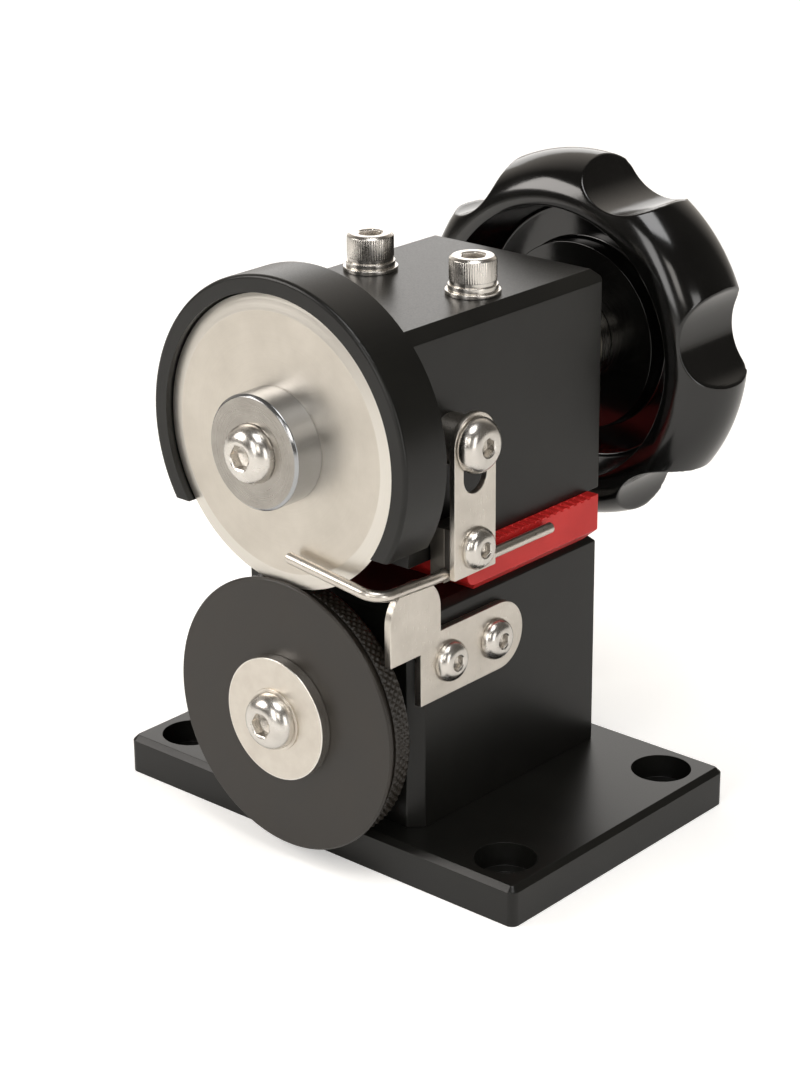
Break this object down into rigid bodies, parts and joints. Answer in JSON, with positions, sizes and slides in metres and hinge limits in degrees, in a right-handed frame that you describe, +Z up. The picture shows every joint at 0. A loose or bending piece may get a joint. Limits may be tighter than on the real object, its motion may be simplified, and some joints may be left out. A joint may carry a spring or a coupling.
{
  "type": "leather handle edge cutting machine",
  "caption": "Bench machine with a hand-turned round blade over a knurled roller disc, for trimming the seam edge of round leather handles; blocks stand on a flat base.",
  "frame": {"origin": "centre of the base's underside, which is also below the middle of the two shaft lines", "axes": "+X to the side that carries the wire guide, +Y along the shafts from the blade to the handwheel, +Z up from the bench"},
  "size_m": [0.095, 0.1016, 0.1147],
  "materials": {
    "black_anodised": "satin black anodised",
    "red_anodised": "satin red anodised",
    "blade_steel": "fine ground",
    "turned_steel": "faced and lightly polished",
    "blackened_steel": "black oxide",
    "stainless_steel": "brushed",
    "shaft_steel": "ground",
    "bearing_steel": "polished",
    "bright_screw": "bright stainless",
    "phenolic": "glossy moulded"
  },
  "bodies": {
    "machine_frame": {"base_plate": "black_anodised", "base_screws": "bright_screw", "lower_block": "black_anodised", "spacer_plate": "red_anodised", "upper_block": "black_anodised", "clamp_screws": "bright_screw", "flat_washers": "bright_screw", "spring_washers": "bright_screw", "guard": "black_anodised", "guard_screws": "bright_screw", "side_guide_plate": "stainless_steel", "side_plate_screws": "bright_screw", "bracket_sleeve": "stainless_steel", "bracket_screw": "bright_screw", "upper_front_bearing_outer_ring": "bearing_steel", "upper_rear_bearing_outer_ring": "bearing_steel", "lower_front_bearing_outer_ring": "bearing_steel", "lower_rear_bearing_outer_ring": "bearing_steel"},
    "upper_spindle": {"upper_shaft": "shaft_steel", "upper_retaining_ring": "shaft_steel", "blade_spacer": "shaft_steel", "blade": "blade_steel", "hub_collar": "turned_steel", "blade_screw": "bright_screw", "wheel_spacer": "shaft_steel", "wheel_insert": "shaft_steel", "wheel_key": "shaft_steel", "handwheel": "phenolic", "wheel_washer": "bright_screw", "wheel_screw": "bright_screw", "upper_front_bearing_inner_ring": "bearing_steel", "upper_front_bearing_balls": "bearing_steel", "upper_rear_bearing_inner_ring": "bearing_steel", "upper_rear_bearing_balls": "bearing_steel"},
    "lower_spindle": {"lower_shaft": "shaft_steel", "lower_retaining_ring": "shaft_steel", "roller_spacer": "shaft_steel", "feed_roller": "blackened_steel", "anvil_disc": "blackened_steel", "roller_washer": "turned_steel", "roller_thin_washer": "turned_steel", "roller_screw": "bright_screw", "lower_front_bearing_inner_ring": "bearing_steel", "lower_front_bearing_balls": "bearing_steel", "lower_rear_bearing_inner_ring": "bearing_steel", "lower_rear_bearing_balls": "bearing_steel"},
    "guide_clamp": {"guide_bracket": "stainless_steel", "inner_jaw": "stainless_steel", "outer_jaw": "blackened_steel", "jaw_screw": "bright_screw"},
    "wire": {"guide_wire": "stainless_steel"}
  },
  "joints": [
    {"name": "blade_spin", "type": "hinge", "parent": "machine_frame", "child": "upper_spindle", "pos_m": [0, 0, 0.07905], "axis": [0, 1, 0], "continuous": true},
    {"name": "roller_spin", "type": "hinge", "parent": "machine_frame", "child": "lower_spindle", "pos_m": [0, 0, 0.0283], "axis": [0, 1, 0], "continuous": true},
    {"name": "bracket_slide", "type": "slide", "parent": "machine_frame", "child": "guide_clamp", "axis": [0, 0, 1], "range_m": [0, 0.005]},
    {"name": "wire_slide", "type": "slide", "parent": "guide_clamp", "child": "wire", "axis": [0, 1, 0], "range_m": [-0.006, 0.0003]}
  ]
}
